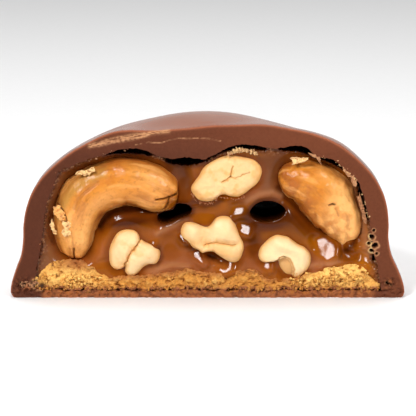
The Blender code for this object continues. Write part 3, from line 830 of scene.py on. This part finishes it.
def build_caramel():
    obj, x, z, front = sheet("caramel_finish", CARAMEL_COLUMNS, 170, -30.0, 30.0, 1.5, 27.0)
    y = np.full(x.shape, SLAB_BACK)
    y[front] = CUT + caramel_relief(x[front], z[front])
    set_points(obj, joined(x, y, z))
    outwards(obj)
    cut_by(obj, hollow("caramel_cutter", 0.12, 0.0), "INTERSECT")
    points = points_of(obj)
    x, y, z = points.T
    tint = coat(AMBER, x)
    depth = y - CUT
    for colour, patches in CARAMEL_TONES:
        for at_x, at_z, reach_x, reach_z, turn, share in patches:
            soft = np.minimum(spot(x, z, at_x, at_z, reach_x * 1.3, reach_z * 1.3, turn) * 1.6, 1)
            paint(tint, colour, share * soft)
    paint(tint, FILM, 0.9 * step(-x, 23.5, 26))
    # Painted shade: the deeper the caramel lies behind the cut, the darker it is
    paint(tint, SHADE_TOFFEE, 0.8 * step(depth, 1.8, 3.6))
    # Painted shadow: the caramel darkens around each kernel
    for outline, _, _ in kernel_outlines():
        away = np.maximum(outside_by(x, z + SEEN_LOWER * depth, outline), 0)
        paint(tint, TOFFEE, 0.7 * np.exp(-((away / 0.7) ** 2)))
    for colour, lines in CARAMEL_SHADES:
        for line, width, share in lines:
            paint(tint, colour, share * stroke(x, z, line, width))
    # Painted shade: dark toffee round each hole and black inside it
    for outline in air_gaps():
        away = outside_by(x, z, outline)
        paint(tint, SHADE_TOFFEE, 0.85 * (1 - step(away, 0.2, 1.2)))
        paint(tint, GAP_SHADOW, 1 - step(away, 0, 0.3))
    # Painted shade: black wherever the caramel lies deep
    paint(tint, GAP_SHADOW, step(depth, 3.2, 5))
    edge = away_from(x, z, curve(HOLLOW_EDGE, 300))
    speckle = lumps(points, 0.45, 3, 6)
    fringe = np.exp(-((edge / 0.9) ** 2)) * step(-depth, -1.2, -0.8)
    paint(tint, COCOA, fringe * 0.8)
    paint(tint, SCRAPED, 0.5 * fringe * step(speckle, 0.15, 0.6))
    hole, rim = bubbles(x, z)
    paint(tint, FLAKE, 0.7 * rim)
    # Painted shade in the bubbles' holes
    paint(tint, RECESS_SHADE, hole)
    finish_piece(obj, tint, caramel_surface(), ["caramel"])


# Cashews

# line, width, depth of the groove, colour, share of the colour; the darker colours paint shade into the
# grooves
LEFT_MARKS = [
    ([(-18.6, 19.9), (-19.5, 19.2), (-20.7, 18.2), (-21.8, 16.8), (-22.4, 15.3)], 0.3, 0.3, CRACK_SHADE, 0.3),
    ([(-22.6, 8.3), (-22.7, 7.4), (-22.6, 6.3)], 0.14, 0.7, CRACK_SHADE, 0.9),
    ([(-8.7, 16.8), (-7.6, 16.9), (-6.7, 17.1), (-5.9, 17.4), (-5.3, 17.6)], 0.15, 0.8, CRACK_SHADE, 1),
    ([(-6.6, 17.1), (-6.7, 16.2), (-7.1, 15.3), (-7.6, 14.7)], 0.16, 0.6, CRACK_SHADE, 0.9),
    ([(-25.3, 15.9), (-24.5, 15.2), (-24, 14.2), (-23.7, 13.3), (-24.2, 12.9)], 0.12, 0.35, RECESS_SHADE, 0.8),
]
RIGHT_MARKS = [
    ([(20.3, 16), (20.8, 16.25), (21.2, 16.1)], 0.15, 0.7, RECESS_SHADE, 0.9),
    ([(21.4, 15.4), (21.9, 14.2)], 0.14, 0.3, CRACK_SHADE, 0.3),
    ([(19, 21.2), (20.4, 20), (20.9, 18.2), (20.4, 16.4)], 0.8, -0.25, LIGHT, 0.3),
]
TOP_MARKS = [
    ([(4.1, 22.6), (3.9, 21.5), (3.8, 20.8)], 0.13, 0.25, TAWNY_SHADE, 0.8),
    ([(3.8, 20.7), (3.3, 20.2), (2.4, 19.8)], 0.14, 0.3, TAWNY_SHADE, 0.9),
    ([(3.8, 20.7), (4.6, 20.4), (5, 20.6)], 0.12, 0.2, TAWNY_SHADE, 0.6),
    ([(5.2, 20.7), (6, 21.1), (6.9, 21.5)], 0.12, 0.22, TAWNY_SHADE, 0.8),
]
LOW_LEFT_SEAM = [(-11.3, 10.2), (-11.9, 9), (-12.8, 8), (-13.5, 6.8), (-14, 5.7), (-14.3, 4.6)]
LOW_LEFT_MARKS = [(LOW_LEFT_SEAM, 0.16, 0.5, TAWNY_SHADE, 0.9), (LOW_LEFT_SEAM, 0.5, 0.3, BUTTER_AND_SHADE, 0.4)]
LOW_MID_MARKS = [
    ([(-0.6, 8.9), (0.5, 9.35), (1.5, 9.4), (2.5, 9.2), (3.5, 9), (4.7, 8.9)], 0.14, 0.3, TAWNY_SHADE, 0.8),
    ([(-0.4, 9), (1.5, 9.5), (3.5, 9.2), (5, 9)], 0.6, 0.5, BUTTER_AND_SHADE, 0.35),
    ([(-1, 12.4), (-0.5, 11), (-0.8, 9.6)], 0.9, 0.6, BUTTER_AND_SHADE, 0.4),
]
LOW_RIGHT_MARKS = [
    ([(11.5, 6.1), (12.1, 6.8), (12.9, 7.1), (13.7, 6.7), (14.2, 5.9), (14.5, 5), (14.5, 4.1), (14.3, 3.2)],
     0.14, 0.35, TAWNY_SHADE, 0.8),
]
INNER_LOBE = [
    (11.5, 6.1), (12.1, 6.7), (12.9, 7), (13.6, 6.6), (14.1, 5.9), (14.4, 5), (14.4, 4.1), (14.2, 3),
    (12.3, 3), (11.3, 5),
]


def pressed(x, z, marks):
    """The depth of a kernel's grooves."""
    return sum(depth * stroke(x, z, line, reach) for line, reach, depth, _, _ in marks)


def paint_marks(tint, x, z, marks, widen, ahead):
    for line, reach, _, colour, share in marks:
        paint(tint, colour, share * stroke(x, z, line, reach * widen) * ahead)


def edge_towards(outline, middle, turn):
    """Where a line from the middle meets the outline, for each turn."""
    angles = np.arctan2(outline[:, 1] - middle[1], outline[:, 0] - middle[0])
    return joined(*(np.interp(turn, angles, outline[:, k], period=math.tau) for k in range(2)))


STATIONS = 200   # along a whole kernel


def build_whole_kernel(node, stations, middle_y, thickness, marks, paint_kernel):
    """A whole cashew: rings along its bent middle, with its grooves pressed into the front."""
    obj, polar, turn = ball(node + "_finish", 200, 240)
    squared = [(x, z, width**2) for x, z, width in stations]
    middle = curve(squared, STATIONS)
    along = heading(middle)
    share = (1 - np.cos(polar)) / 2 * (STATIONS - 1)
    at_x, at_z, width = (np.interp(share, np.arange(STATIONS), middle[:, k]) for k in range(3))
    dir_x, dir_z = (np.interp(share, np.arange(STATIONS), along[:, k]) for k in range(2))
    width = np.sqrt(np.maximum(width, 0))
    widest = width.max()
    side = np.cos(turn) * width / 2
    facing = -np.sin(turn)
    thick = thickness / 2 * np.sqrt(width / widest) * np.sqrt(np.maximum(np.sin(polar), 0)) ** 0.5
    thick = np.minimum(thick, width * 0.75)
    x = at_x + dir_z * side
    z = at_z - dir_x * side
    points = joined(x, middle_y + thick * facing, z)
    ahead = step(-facing, 0, 0.35)
    swell = 0.3 * lumps(points, 4, 2, 1) + 0.07 * lumps(points, 1.1, 3, 2) - pressed(x, z, marks) * ahead
    grow = 1 + swell / np.maximum(width / 2, 1.0)
    points = joined(at_x + dir_z * side * grow, middle_y + thick * facing * grow, at_z - dir_x * side * grow)
    tint = coat(GOLD, x)
    paint_kernel(points, x, z, tint)
    grain = lumps(flat(share * 0.02, share * 0) + np.outer(turn * 3, (0, 1, 0)), 1, 4, 50)
    # Roast speckles, and painted shade darkening the kernel towards its outline
    paint(tint, ROAST_AND_SHADE, 0.45 * step(grain, 0.1, 0.8) + 0.8 * step(np.abs(np.cos(turn)), 0.55, 0.98))
    paint(tint, LIGHT, 0.4 * step(-grain, 0.1, 0.8))
    paint_marks(tint, x, z, marks, 1.2, ahead)
    set_points(obj, points)
    outwards(obj)
    finish_piece(obj, tint, kernel_surface(node + "_finish_roast", 0.3, 0.03), [node])


# colour, share, x, z, reach across, reach up, turn
LEFT_PATCHES = [
    (LIGHT, 0.55, -22.4, 10.5, 3.4, 5, 0), (LIGHT, 0.6, -20.5, 10, 1.6, 3, -20),
    (LIGHT, 0.5, -18.3, 16.2, 3.4, 1.4, 38), (LIGHT, 0.5, -10.3, 16.2, 3.2, 1.3, -8),
    (LIGHT, 0.6, -9.5, 20, 3.4, 1.7, -35), (AMBER, 1.3, -5.8, 15.9, 1.2, 1.5, 0),
    (ROAST_AND_SHADE, 0.3, -14, 16.4, 5, 1.2, 4),
]
LEFT_BACK = [(-27, 12), (-24.2, 14.5), (-22.6, 17.5), (-19.8, 19.8), (-17, 20.8), (-17, 25), (-28, 24)]


def paint_left(points, x, z, tint):
    """Lighter along its edges, with an amber lobe under the tip and an olive back."""
    paint(tint, ORANGE, step(lumps(points, 2.5, 3, 12), -0.2, 0.6) * 0.5)
    # The light patches are painted light on the lit parts, and the roast patch painted shade by the inner
    # edge
    for colour, share, *oval in LEFT_PATCHES:
        paint(tint, colour, share * spot(x, z, *oval))
    paint(tint, ROAST_AND_SHADE, 0.35 * step(lumps(points, 0.5, 3, 44), 0.25, 0.8))
    paint(tint, OLIVE, 0.85 * step(-outside_by(x, z, np.array(LEFT_BACK)), -0.6, 0.6))


def paint_right(points, x, z, tint):
    """Darker and mottled on the left, pale gold on the right."""
    patches = lumps(points, 1.6, 4, 22)
    paint(tint, LIGHT, step(x - 0.35 * (z - 16), 18.5, 22.5))
    paint(tint, ROAST_AND_SHADE, step(-(x + 0.7 * (z - 16)), -20.5, -15.5) * step(patches, -0.8, 0.4) * 0.9)
    paint(tint, ORANGE, step(patches, 0, 0.8) * 0.5)


ROUNDING = 3.2   # the higher, the flatter the cut face and the tighter its edge


def build_cut_kernel(node, outline, centre, length, drift, marks, shape_face):
    """A cashew cut across: a nearly flat face with a rounded edge, and a body that tapers behind it."""
    obj, polar, turn = ball(node + "_finish", 220, 120)
    middle = np.array(centre)
    edge = edge_towards(curve(outline, 440, closed=True), middle, turn)
    size = np.sin(polar)
    in_front = np.cos(polar) > 0
    face = np.where(in_front, (1 - np.clip(size, 0, 1) ** ROUNDING) ** (1 / ROUNDING), 0.0)
    behind = np.where(in_front, 0.0, -np.cos(polar))
    placed = middle + (edge - middle) * size[:, None] + np.array(drift) * behind[:, None]
    x, z = placed.T
    points = joined(x, CUT + 1.9 - 2.0 * face + length * behind, z)
    ahead = step(face, 0, 0.4)
    bent = 0.14 * lumps(points, 0.7, 2, 60)
    relief = 0.16 * lumps(points, 2.6, 2, 1) + pressed(x + bent, z - bent, marks)
    tint = coat(CREAM, x)
    # Painted shade darkens the face's rounded edge
    paint(tint, BUTTER_AND_SHADE, 1 - step(face, 0.45, 0.95))
    relief += shape_face(x, z, points, tint)
    paint_marks(tint, x + bent, z - bent, marks, 1.1, ahead)
    points[:, 1] += relief * ahead
    set_points(obj, points)
    outwards(obj)
    finish_piece(obj, tint, kernel_surface(node + "_finish_flesh", 0.42, 0.02), [node])


def face_top(x, z, points, tint):
    paint(tint, BUTTER_AND_SHADE, 0.45 + 0.4 * step(lumps(points, 1.8, 3, 31), 0, 0.7))
    crumbly = 0.06 * lumps(points, 0.6, 3, 35)
    return crumbly + 0.25 * spot(x, z, 0.2, 18.4, 1.4, 0.6, 20) - 0.15 * spot(x, z, -0.6, 17.6, 1.2, 1)


def face_low_left(x, z, points, tint):
    paint(tint, BUTTER_AND_SHADE, 0.2 + 0.35 * step(lumps(points, 2, 3, 33), 0, 0.8))
    return -0.6 * spot(x, z, -14.4, 8.4, 1.3, 2.4, 20) - 0.6 * spot(x, z, -10.6, 7.3, 2.3, 1.2, 35)


def face_low_mid(x, z, points, tint):
    paint(tint, BUTTER_AND_SHADE, 0.2 + 0.6 * spot(x, z, 2.6, 7.9, 3.2, 1, -15) + 0.5 * spot(x, z, -2.8, 9.3, 1.4, 0.9))
    rise = 0.6 * spot(x, z, 3, 11.4, 1.6, 1.8) + 0.5 * spot(x, z, 3.4, 7.5, 2.2, 0.8, -15)
    return -rise - 0.45 * spot(x, z, -2.9, 11.2, 1.2, 1.2)


def face_low_right(x, z, points, tint):
    # Painted shade in the recess: the inner lobe lies deeper and is darker
    inside = step(-outside_by(x, z, np.array(INNER_LOBE)), -0.1, 0.25)
    paint(tint, TAWNY_SHADE, inside * 0.75)
    return inside * 0.7 - 0.6 * spot(x, z, 13.5, 8.7, 3.4, 0.9, -20) - 0.3 * spot(x, z, 15.9, 6.2, 0.9, 1.8)


# Biscuit


BISCUIT_RADIUS = 28.7


def build_biscuit():
    """The crumb: an uneven face full of pores, soaked with caramel where it lies against it."""
    obj, x, up, front = sheet("biscuit_finish", 560, 48, -29.2, 29.1, 0.0, 1.0)
    edge = curve(BISCUIT_EDGE, 400)
    top = np.interp(x, edge[:, 0], edge[:, 1]) + 0.12
    at = flat(x, x * 0.3)
    top += 0.18 * lumps(at, 0.9, 3, 14)
    bottom = FLOOR + 0.15 + 0.35 * lumps(at, 1.3, 3, 21)
    z = bottom + (top - bottom) * up
    place = flat(x, z)
    pores = lumps(place, 0.75, 3, 15)
    coarse = lumps(place, 2.6, 2, 16)
    fine = lumps(place, 0.9, 3, 17)
    depth = 0.5 - 0.4 * coarse - 0.3 * fine + 0.35 * step(pores, 0.2, 0.9)
    y = np.where(front, CUT + np.maximum(depth, 0.0), np.sqrt(np.maximum(BISCUIT_RADIUS**2 - x**2, 0.5)))
    slide = 0.12 * front
    x = x + slide * lumps(place, 0.6, 2, 18)
    z = z + slide * lumps(place, 0.6, 2, 19) * step(z, FLOOR + 0.1, FLOOR + 0.5)
    tint = coat(CRUMB, x)
    # Painted highlight paling the raised crumb, and painted shade darkening its hollows
    paint(tint, PALE_CRUMB, step(-depth, -0.6, 0) * 0.8)
    paint(tint, BAKED_AND_SHADE, step(depth, 0.6, 1.3) * 0.75)
    paint(tint, BAKED_AND_SHADE, 0.55 * step(bottom + 1.5 + coarse - z, 0, 1.4))
    paint(tint, BAKED_AND_SHADE, 0.4 * step(lumps(place, 1.4, 2, 23), 0, 0.7))
    paint(tint, BAKED_AND_SHADE, 0.3 * (np.abs(x - 0.5) < 13.0))
    paint(tint, PALE_CRUMB, spot(x, z, 22.5, 4, 6, 2.2) + 0.8 * spot(x, z, -23.5, 3.8, 5, 2))
    # Painted shade in the pores
    paint(tint, BAKED_AND_SHADE, 0.7 * step(pores, 0.25, 0.7))
    soaked = 0.8 * step(z - top, -1.1, -0.1) * step(-np.abs(x), -19, -15)
    paint(tint, SOAKED, np.maximum(spot(x, z, -22, 5.9, 3.6, 1.4), soaked))
    # Painted shade: a dark pit at the left end
    paint(tint, RECESS_SHADE, spot(x, z, -28.1, 1.9, 0.8, 0.7))
    paint(tint, BASE, step(bottom - z + 0.3 * lumps(place, 0.7, 3, 22), -0.5, -0.1))
    set_points(obj, joined(x, y, z))
    outwards(obj)
    finish_piece(obj, tint, crumb_surface("biscuit_crumb", 0.16, 0.07), ["biscuit_base"])


# Crumbs that lie on the cut

# line, how many, smallest and largest size, how far they stray, the two colours
CRUMB_LINES = [
    (HOLLOW_EDGE[2:8], 40, 0.1, 0.3, 0.35, BASE, COCOA),
    (HOLLOW_EDGE[8:12], 16, 0.1, 0.28, 0.3, SCRAPED, COCOA),
    (HOLLOW_EDGE[25:31], 34, 0.12, 0.36, 0.25, FLAKE, SCRAPED),
    ([(-2.9, 18.2), (-2.2, 16.8), (-0.7, 16.1), (0.8, 16.3), (1.9, 17.1), (3.7, 17), (5.2, 16.9),
      (7.2, 18.2)], 60, 0.1, 0.22, 0.12, TAN, BASE),
    ([(3.4, 24.5), (4.6, 25.1), (6.5, 25.2), (8, 24.6)], 70, 0.15, 0.5, 0.28, FLAKE, SCRAPED),
    ([(-28.6, 1.6), (28.6, 1.6)], 170, 0.15, 0.5, 0.35, CRUMB, BASE),
    ([(-28, 3), (-18, 3)], 110, 0.15, 0.5, 0.8, CRUMB, PALE_CRUMB),
    ([(14, 2.8), (27, 3.4)], 120, 0.15, 0.5, 0.8, CRUMB, PALE_CRUMB),
    ([(-31.6, 2.3), (-28.8, 2.2)], 60, 0.12, 0.36, 0.4, SCRAPED, COCOA),
]
# Torn skin and splinters of nut: outline, depth behind the cut and colour
FLAKES = [
    ([(-21.8, 21.2), (-21.3, 21.8), (-20.3, 21.9), (-19.7, 22.3), (-18.7, 22.3), (-18.6, 21.7), (-19.4, 21.4),
      (-20, 21), (-20.9, 21.1)], 0, FLAKE),
    ([(-25.8, 14.9), (-25.7, 15.6), (-25.3, 15.8), (-24.7, 15.5), (-24.2, 14.6), (-24, 13.6), (-24.4, 13.2),
      (-25, 13.4), (-25.6, 14)], 0.15, LIGHT),
    ([(-24.5, 12.9), (-23.7, 13.3), (-23, 12.7), (-23.2, 11.8), (-22.9, 11), (-23.8, 10.8), (-24.5, 11.4),
      (-24.2, 12.1)], -0.35, FLAKE),
    ([(-26.5, 12.9), (-26.1, 13.3), (-25.9, 12.4), (-25.7, 11.4), (-25.2, 10.9), (-25.9, 11), (-26.4, 11.8)],
     0.5, FLAKE),
    ([(14.1, 23.9), (14.7, 24.2), (15.7, 24), (17, 24), (16, 23.3), (14.3, 22.9), (14.2, 23.4)], 0.1,
     FLAKE),
    ([(16.6, 24.8), (17.7, 24.6), (18.7, 24), (19.2, 22.7), (18.7, 22.9), (18.2, 23.8), (17.2, 24.3)], 0.15,
     SCRAPED),
    ([(22.4, 22.4), (23.2, 22.2), (24.4, 20.8), (25, 19.2), (24.6, 18.9), (24, 20.2), (22.9, 21.4)], 0.15,
     SCRAPED),
    ([(25, 17.5), (25.6, 17.5), (26.1, 15.4), (26.6, 13), (26.1, 12.9), (25.6, 15)], 0.15, TAN),
]


def build_flakes():
    """Thin crumpled flakes that stand off the cut."""
    made = []
    for outline, behind, colour in FLAKES:
        obj, polar, turn = ball("kernel_flakes", 90, 60)
        ring = curve(outline, 200, closed=True)
        middle = ring.mean(axis=0)
        edge = edge_towards(ring, middle, turn)
        torn = 1 + 0.35 * lumps(flat(*edge.T), 0.8, 3, 41)
        x, z = (middle + (edge - middle) * (np.sin(polar) * torn)[:, None]).T
        crumple = lumps(flat(x, z), 0.55, 3, 40)
        y = CUT + behind - 0.12 * np.cos(polar) - 0.35 * crumple
        set_points(obj, joined(x + 0.15 * crumple, y, z + 0.12 * crumple))
        tint = coat(colour, x)
        paint(tint, SCRAPED, 0.7 * step(-crumple, 0.1, 0.5))
        set_tint(obj, tint)
        made.append(obj)
    pick(made[0])
    for obj in made:
        obj.select_set(True)
    bpy.ops.object.join()
    outwards(made[0])
    finish_piece(made[0], None, crumb_surface("dry_kernel_skin", 0.1))


def build_crumbs():
    """Small broken bits, each an uneven lump."""
    bpy.ops.mesh.primitive_ico_sphere_add(subdivisions=2, radius=1.0, location=(0, 0, 0))
    obj = start("cut_crumbs")
    lump = points_of(obj) * MM
    faces = np.array([list(p.vertices) for p in obj.data.polygons])
    bpy.data.objects.remove(obj)
    all_points, all_faces, all_tints = [], [], []
    for line, count, small, large, stray, first, second in CRUMB_LINES:
        places = curve(line, 400)
        for _ in range(count):
            x, z = places[random.integers(0, 400)] + random.normal(0, stray, 2) * (1, 0.6)
            size = random.uniform(small, large) / 2
            stretch = random.uniform(0.6, 1.4, 3)
            shape = lump * stretch * size * (1 + 0.35 * random.normal(0, 1, (len(lump), 1)))
            y = CUT + random.uniform(0.0, 0.45)
            all_faces.append(faces + len(lump) * len(all_points))
            all_points.append(shape + (x, y, max(z, 0.6)))
            mix = random.uniform(0, 1)
            all_tints.append(coat(first, lump) * mix + coat(second, lump) * (1 - mix))
    mesh = bpy.data.meshes.new("cut_crumbs")
    mesh.from_pydata((np.vstack(all_points) * MM).tolist(), [], np.vstack(all_faces).tolist())
    obj = add_object("cut_crumbs", mesh)
    finish_piece(obj, np.vstack(all_tints), crumb_surface("loose_crumb", 0.15))


# Floor, light and camera

CAMERA_ELEVATION = 10.8
CAMERA_AWAY = 400.0
CAMERA_LENS = 204.8
CAMERA_AIM = (0, 0, 14.86)


def look_from(obj, place, aim):
    obj.location = Vector(place) * MM
    obj.rotation_euler = (Vector(aim) - Vector(place)).to_track_quat("-Z", "Y").to_euler()


def softbox(name, place, aim, size, power):
    """A soft light with rounded edges, with its size in millimetres."""
    data = bpy.data.lights.new(name, "AREA")
    data.shape = "ELLIPSE"
    data.size, data.size_y = size[0] * MM, size[1] * MM
    data.energy = power
    look_from(add_object(name, data), place, aim)


def build_studio():
    bpy.ops.mesh.primitive_plane_add(size=6.0, location=(0, 0, 0))
    floor = start("pale_floor")
    made, tree, shader, place = new_surface("matt_white_paper", {"Roughness": 0.9})
    fibre = add_node(tree, "TexNoise", {"Scale": 400.0, "Detail": 3.0}, {"Vector": place})
    shade = add_node(tree, "MapRange", {"To Min": 0.84, "To Max": 0.87}, {"Value": fibre.outputs["Fac"]})
    tree.links.new(shade.outputs["Result"], shader.inputs["Base Color"])
    floor.data.materials.append(made)

    world = bpy.data.worlds.new("white_studio")
    bpy.context.scene.world = world
    world.use_nodes = True
    tree = world.node_tree
    background = tree.nodes["Background"]
    direction = add_node(tree, "TexCoord", {}).outputs["Generated"]
    split = add_node(tree, "SeparateXYZ", {}, {"Vector": direction})
    lit = add_node(
        tree, "MapRange", {"From Min": -0.5, "From Max": 0.6, "To Min": 0.12, "To Max": 0.8},
        {"Value": split.outputs["Y"]},
    )
    seen = add_node(tree, "LightPath", {}).outputs["Is Camera Ray"]
    strength = add_node(tree, "MapRange", {"To Max": 1.05}, {"Value": seen, "To Min": lit.outputs["Result"]})
    tree.links.new(strength.outputs["Result"], background.inputs["Strength"])
    background.inputs["Color"].default_value = (1.0, 1.0, 1.0, 1.0)

    softbox("key_box", (-260, -420, 420), (0, 0, 12), (145, 145), 3.0)
    softbox("side_box", (330, -380, 330), (0, 0, 12), (95, 95), 1.5)
    softbox("top_box", (0, 150, 520), (0, 0, 10), (420, 300), 1.2)

    data = bpy.data.cameras.new("photo_camera")
    data.lens = CAMERA_LENS
    data.sensor_width = 36.0
    data.clip_start = 0.01
    camera = add_object("photo_camera", data)
    tilt = math.radians(CAMERA_ELEVATION)
    place = np.array(CAMERA_AIM) + CAMERA_AWAY * np.array([0, -math.cos(tilt), math.sin(tilt)])
    look_from(camera, place, CAMERA_AIM)
    bpy.context.scene.camera = camera
    bpy.context.scene.view_settings.view_transform = "Standard"


build_shell()
build_caramel()
build_whole_kernel("cashew_left", LEFT_KERNEL, CUT + 3.6, 8.4, LEFT_MARKS, paint_left)
build_whole_kernel("cashew_right", RIGHT_KERNEL, CUT + 3.5, 8.6, RIGHT_MARKS, paint_right)
# node, outline, centre, how long the body is, how far it drifts, marks, and what shapes its face
for kernel in (
    ("cashew_top", TOP_KERNEL, (3.2, 20.4), 8.5, (-1.5, -1.2), TOP_MARKS, face_top),
    ("cashew_low_left", LOW_LEFT_KERNEL, (-12.4, 7.6), 8.0, (1.5, 1.6), LOW_LEFT_MARKS, face_low_left),
    ("cashew_low_mid", LOW_MID_KERNEL, (1.2, 10.2), 9.0, (-1.0, 1.5), LOW_MID_MARKS, face_low_mid),
    ("cashew_low_right", LOW_RIGHT_KERNEL, (13.8, 7.4), 8.0, (1.0, 2.0), LOW_RIGHT_MARKS, face_low_right),
):
    build_cut_kernel(*kernel)
build_biscuit()
build_crumbs()
build_flakes()
build_studio()
